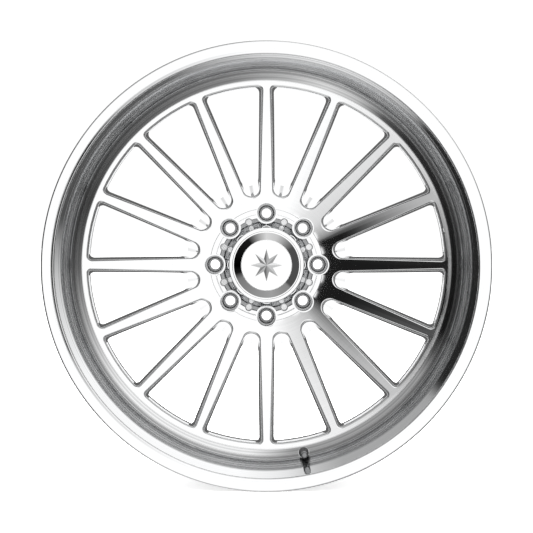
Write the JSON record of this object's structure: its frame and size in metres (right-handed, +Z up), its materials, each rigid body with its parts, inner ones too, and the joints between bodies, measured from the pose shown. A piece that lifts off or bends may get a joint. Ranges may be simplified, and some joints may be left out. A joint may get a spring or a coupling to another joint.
{
  "type": "wheel rim",
  "caption": "Deep-lip welded forged wheel with straight bevelled spokes, a bolted centre cap and a snap-in tyre valve.",
  "frame": {"origin": "the wheel's centre: on the axle, half way between the two outer flange faces", "axes": "+Y along the axle towards the vehicle, so the polished lip side faces -Y; +Z up; +X to the right seen from the lip side; the valve is near -Z"},
  "size_m": [0.7002, 0.381, 0.7002],
  "materials": {
    "polished_aluminium": "mirror polished",
    "weld_metal": "dressed and polished",
    "bezel_chrome": "mirror polished",
    "badge_metal": "mirror polished",
    "badge_relief": "polished facets",
    "machined_aluminium": "turned",
    "spring_steel": "oiled spring steel",
    "screw_steel": "stainless, fine turned",
    "insert_steel": "stainless",
    "seal_rubber": "matt",
    "valve_rubber": "satin moulded",
    "valve_brass": "machined brass",
    "valve_cap_metal": "fine-knurled"
  },
  "bodies": {
    "wheel": {"rim_barrel": "polished_aluminium", "forged_centre": "polished_aluminium", "weld_seam_front": "weld_metal", "weld_bead_rear": "weld_metal", "cap_screw_inserts": "insert_steel", "valve_rubber": "valve_rubber", "valve_stem": "valve_brass", "core_housing": "valve_brass", "core_gasket": "seal_rubber", "core_spring": "spring_steel"},
    "cap": {"cap_body": "polished_aluminium", "cap_bezel": "bezel_chrome", "cap_badge_disc": "badge_metal", "cap_badge_star": "badge_relief", "cap_badge_gasket": "seal_rubber", "cap_backing_plate": "machined_aluminium", "cap_snap_ring": "spring_steel", "cap_o_ring": "seal_rubber"},
    "screws": {"cap_screws": "screw_steel"},
    "air_cap": {"valve_cap": "valve_cap_metal", "valve_cap_seal": "seal_rubber"},
    "air_pin": {"core_pin": "valve_brass", "core_cup_seal": "seal_rubber"}
  },
  "joints": [
    {"name": "cap_lift_off", "type": "slide", "parent": "wheel", "child": "cap", "axis": [0, -1, 0], "range_m": [0, 0.13]},
    {"name": "cap_screws_out", "type": "slide", "parent": "cap", "child": "screws", "axis": [0, -1, 0], "range_m": [0, 0.03]},
    {"name": "valve_cap_off", "type": "slide", "parent": "wheel", "child": "air_cap", "axis": [0, -1, 0], "range_m": [0, 0.03]},
    {"name": "valve_core_press", "type": "slide", "parent": "wheel", "child": "air_pin", "axis": [0, 1, 0], "range_m": [0, 0.0014], "stiffness_N_per_m": 600, "springref_m": -0.0008, "deforming": ["core_spring"]}
  ]
}
